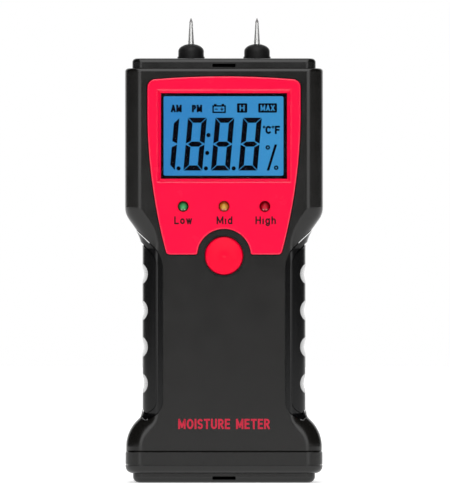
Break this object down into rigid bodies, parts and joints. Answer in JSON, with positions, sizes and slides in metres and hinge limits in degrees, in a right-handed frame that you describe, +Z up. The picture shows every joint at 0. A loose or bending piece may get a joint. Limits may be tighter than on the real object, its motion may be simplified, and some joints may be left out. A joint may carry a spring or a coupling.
{
  "type": "moisture meter",
  "caption": "Hand-held two-pin moisture meter: waisted two-shell case, side grips, red fascia with display, lamps and button, removable pins, battery door.",
  "frame": {"origin": "centre of the flat base face, on the centre plane of the case", "axes": "+Z up along the pins, -Y towards the user (display side), +X to the user's right"},
  "size_m": [0.0602, 0.0293, 0.1415],
  "materials": {
    "shell": "fine spark-eroded texture",
    "base": "fine spark-eroded texture",
    "block": "fine matt",
    "probe_cap": "matt",
    "grip": "soft-touch with a moulded gloss",
    "fascia": "moulded gloss",
    "button": "moulded gloss",
    "lens": "clear acrylic",
    "lcd": "blue backlit display glass",
    "backlight": "light guide",
    "holder": "moulded",
    "connector": "conductive silicone",
    "board": "green solder mask",
    "chip": "moulded epoxy",
    "plunger": "moulded",
    "crystal": "can",
    "led_green": "tinted epoxy",
    "led_amber": "tinted epoxy",
    "led_red": "tinted epoxy",
    "needle": "ground",
    "brass": "turned",
    "contact": "nickel plated",
    "screw": "zinc plated",
    "cell": "printed shrink sleeve",
    "lead_red": "PVC insulation",
    "lead_black": "PVC insulation"
  },
  "bodies": {
    "housing": {"base_cap": "base", "battery_cell_1": "cell", "battery_cell_2": "cell", "battery_cell_3": "cell", "battery_lead_negative": "lead_black", "battery_lead_positive": "lead_red", "battery_spring_1": "contact", "battery_spring_2": "contact", "battery_spring_3": "contact", "beeper": "chip", "board_resistors": "chip", "board_screws": "screw", "clock_crystal": "crystal", "contact_bridge_bottom": "contact", "contact_bridge_top": "contact", "contact_negative": "contact", "contact_positive": "contact", "display_lens": "lens", "electrode_block": "block", "electrode_lead_left": "lead_red", "electrode_lead_right": "lead_red", "fascia": "fascia", "front_shell": "shell", "grip_left": "grip", "grip_right": "grip", "housing_screws": "screw", "lcd_backlight": "backlight", "lcd_holder": "holder", "lcd_panel": "lcd", "led_high": "led_red", "led_low": "led_green", "led_mid": "led_amber", "main_board": "board", "mcu_chip": "chip", "rear_shell": "shell", "socket_left": "brass", "socket_right": "brass", "switch_body": "chip", "temperature_sensor": "chip", "zebra_strip": "connector"},
    "button": {"power_button": "button"},
    "plunger": {"switch_plunger": "plunger"},
    "door": {"battery_door": "shell"},
    "probe_left": {"needle_left": "needle", "probe_cap_left": "probe_cap"},
    "probe_right": {"needle_right": "needle", "probe_cap_right": "probe_cap"}
  },
  "joints": [
    {"name": "button_press", "type": "slide", "parent": "housing", "child": "button", "axis": [0, 1, 0], "range_m": [0, 0.0005], "stiffness_N_per_m": 60, "springref_m": -0.0005},
    {"name": "plunger_press", "type": "slide", "parent": "housing", "child": "plunger", "axis": [0, 1, 0], "range_m": [0, 0.0005]},
    {"name": "door_swing", "type": "hinge", "parent": "housing", "child": "door", "pos_m": [0, 0.01325, 0.01775], "axis": [-1, 0, 0], "range_deg": [0, 60]},
    {"name": "probe_left_lift", "type": "slide", "parent": "housing", "child": "probe_left", "axis": [0, 0, 1], "range_m": [0, 0.014]},
    {"name": "probe_right_lift", "type": "slide", "parent": "housing", "child": "probe_right", "axis": [0, 0, 1], "range_m": [0, 0.014]}
  ],
  "couplings": [
    {"joint": "plunger_press", "follows": "button_press", "ratio": 1}
  ]
}
